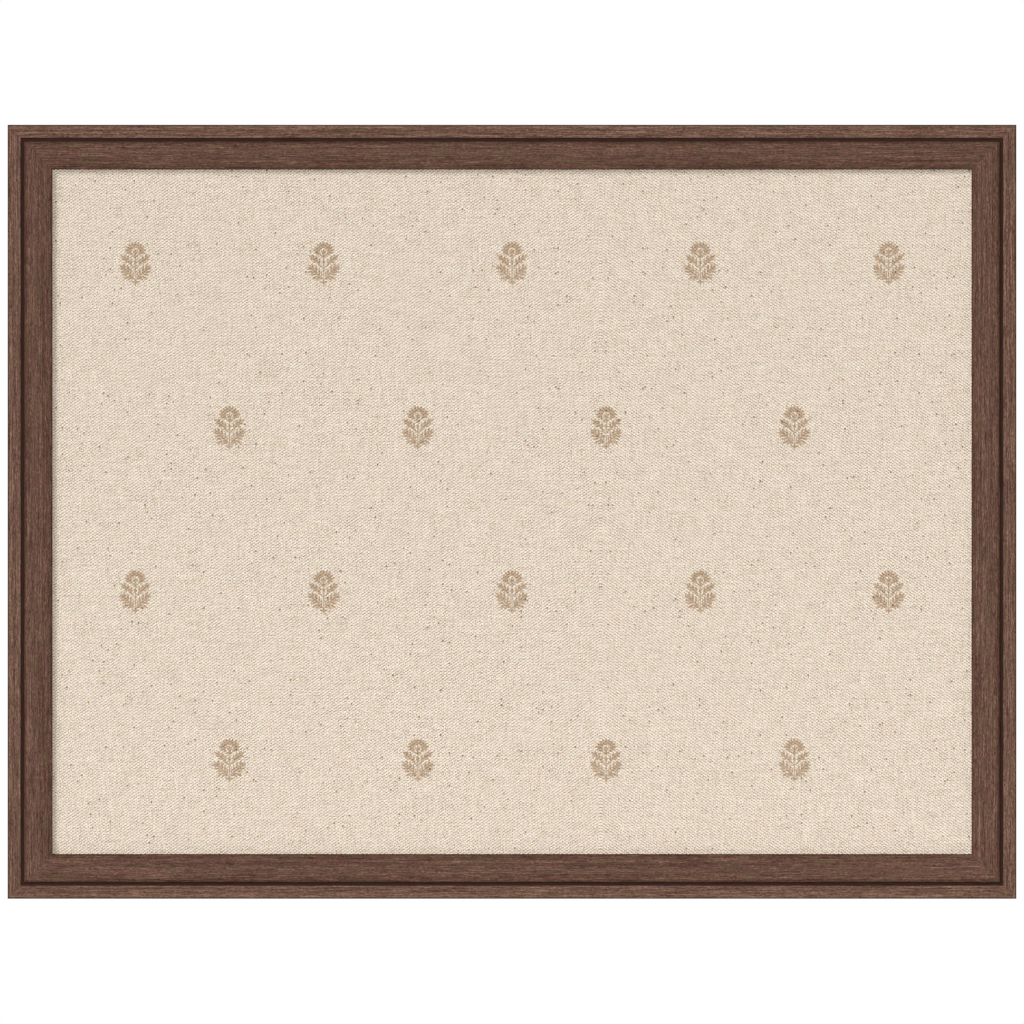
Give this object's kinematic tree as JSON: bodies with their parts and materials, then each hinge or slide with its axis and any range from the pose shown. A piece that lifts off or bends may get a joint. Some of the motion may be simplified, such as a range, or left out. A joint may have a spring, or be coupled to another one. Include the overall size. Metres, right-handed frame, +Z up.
{
  "type": "pin board",
  "caption": "Framed fabric pin board: grooved wooden moulding round a cloth-covered cork panel, with swinging D-ring hangers on the back.",
  "frame": {"origin": "on the wall plane that the bumpers' faces rest against, behind the middle of the board", "axes": "+X to the right of someone facing the board, +Y from the board into the wall, +Z up"},
  "size_m": [0.655, 0.024, 0.5024],
  "materials": {
    "walnut_wood": "satin",
    "cover_cloth": "matte",
    "cork": "matte",
    "hardboard": "matte",
    "zinc_steel": "satin",
    "bright_steel": "satin",
    "rubber": "matte"
  },
  "bodies": {
    "board": {"rail_top": "walnut_wood", "rail_bottom": "walnut_wood", "stile_left": "walnut_wood", "stile_right": "walnut_wood", "v_nail_top_left_outer": "bright_steel", "v_nail_top_left_inner": "bright_steel", "v_nail_top_right_outer": "bright_steel", "v_nail_top_right_inner": "bright_steel", "v_nail_bottom_left_outer": "bright_steel", "v_nail_bottom_left_inner": "bright_steel", "v_nail_bottom_right_outer": "bright_steel", "v_nail_bottom_right_inner": "bright_steel", "framers_point_top_1": "bright_steel", "framers_point_top_2": "bright_steel", "framers_point_top_3": "bright_steel", "framers_point_top_4": "bright_steel", "framers_point_bottom_1": "bright_steel", "framers_point_bottom_2": "bright_steel", "framers_point_bottom_3": "bright_steel", "framers_point_bottom_4": "bright_steel", "framers_point_left_1": "bright_steel", "framers_point_left_2": "bright_steel", "framers_point_left_3": "bright_steel", "framers_point_right_1": "bright_steel", "framers_point_right_2": "bright_steel", "framers_point_right_3": "bright_steel", "fabric_cover": "cover_cloth", "cork_sheet": "cork", "backing_board": "hardboard", "hanger_strap_left": "zinc_steel", "hanger_screw_left_upper": "zinc_steel", "hanger_screw_left_lower": "zinc_steel", "hanger_strap_right": "zinc_steel", "hanger_screw_right_upper": "zinc_steel", "hanger_screw_right_lower": "zinc_steel", "bumper_left": "rubber", "bumper_right": "rubber"},
    "ring_left": {"d_ring_left": "zinc_steel"},
    "ring_right": {"d_ring_right": "zinc_steel"}
  },
  "joints": [
    {"name": "ring_left_swing", "type": "hinge", "parent": "board", "child": "ring_left", "pos_m": [-0.31612, -0.0027, 0.13125], "axis": [1, 0, 0], "range_deg": [0, 178]},
    {"name": "ring_right_swing", "type": "hinge", "parent": "board", "child": "ring_right", "pos_m": [0.31612, -0.0027, 0.13125], "axis": [1, 0, 0], "range_deg": [0, 178]}
  ]
}
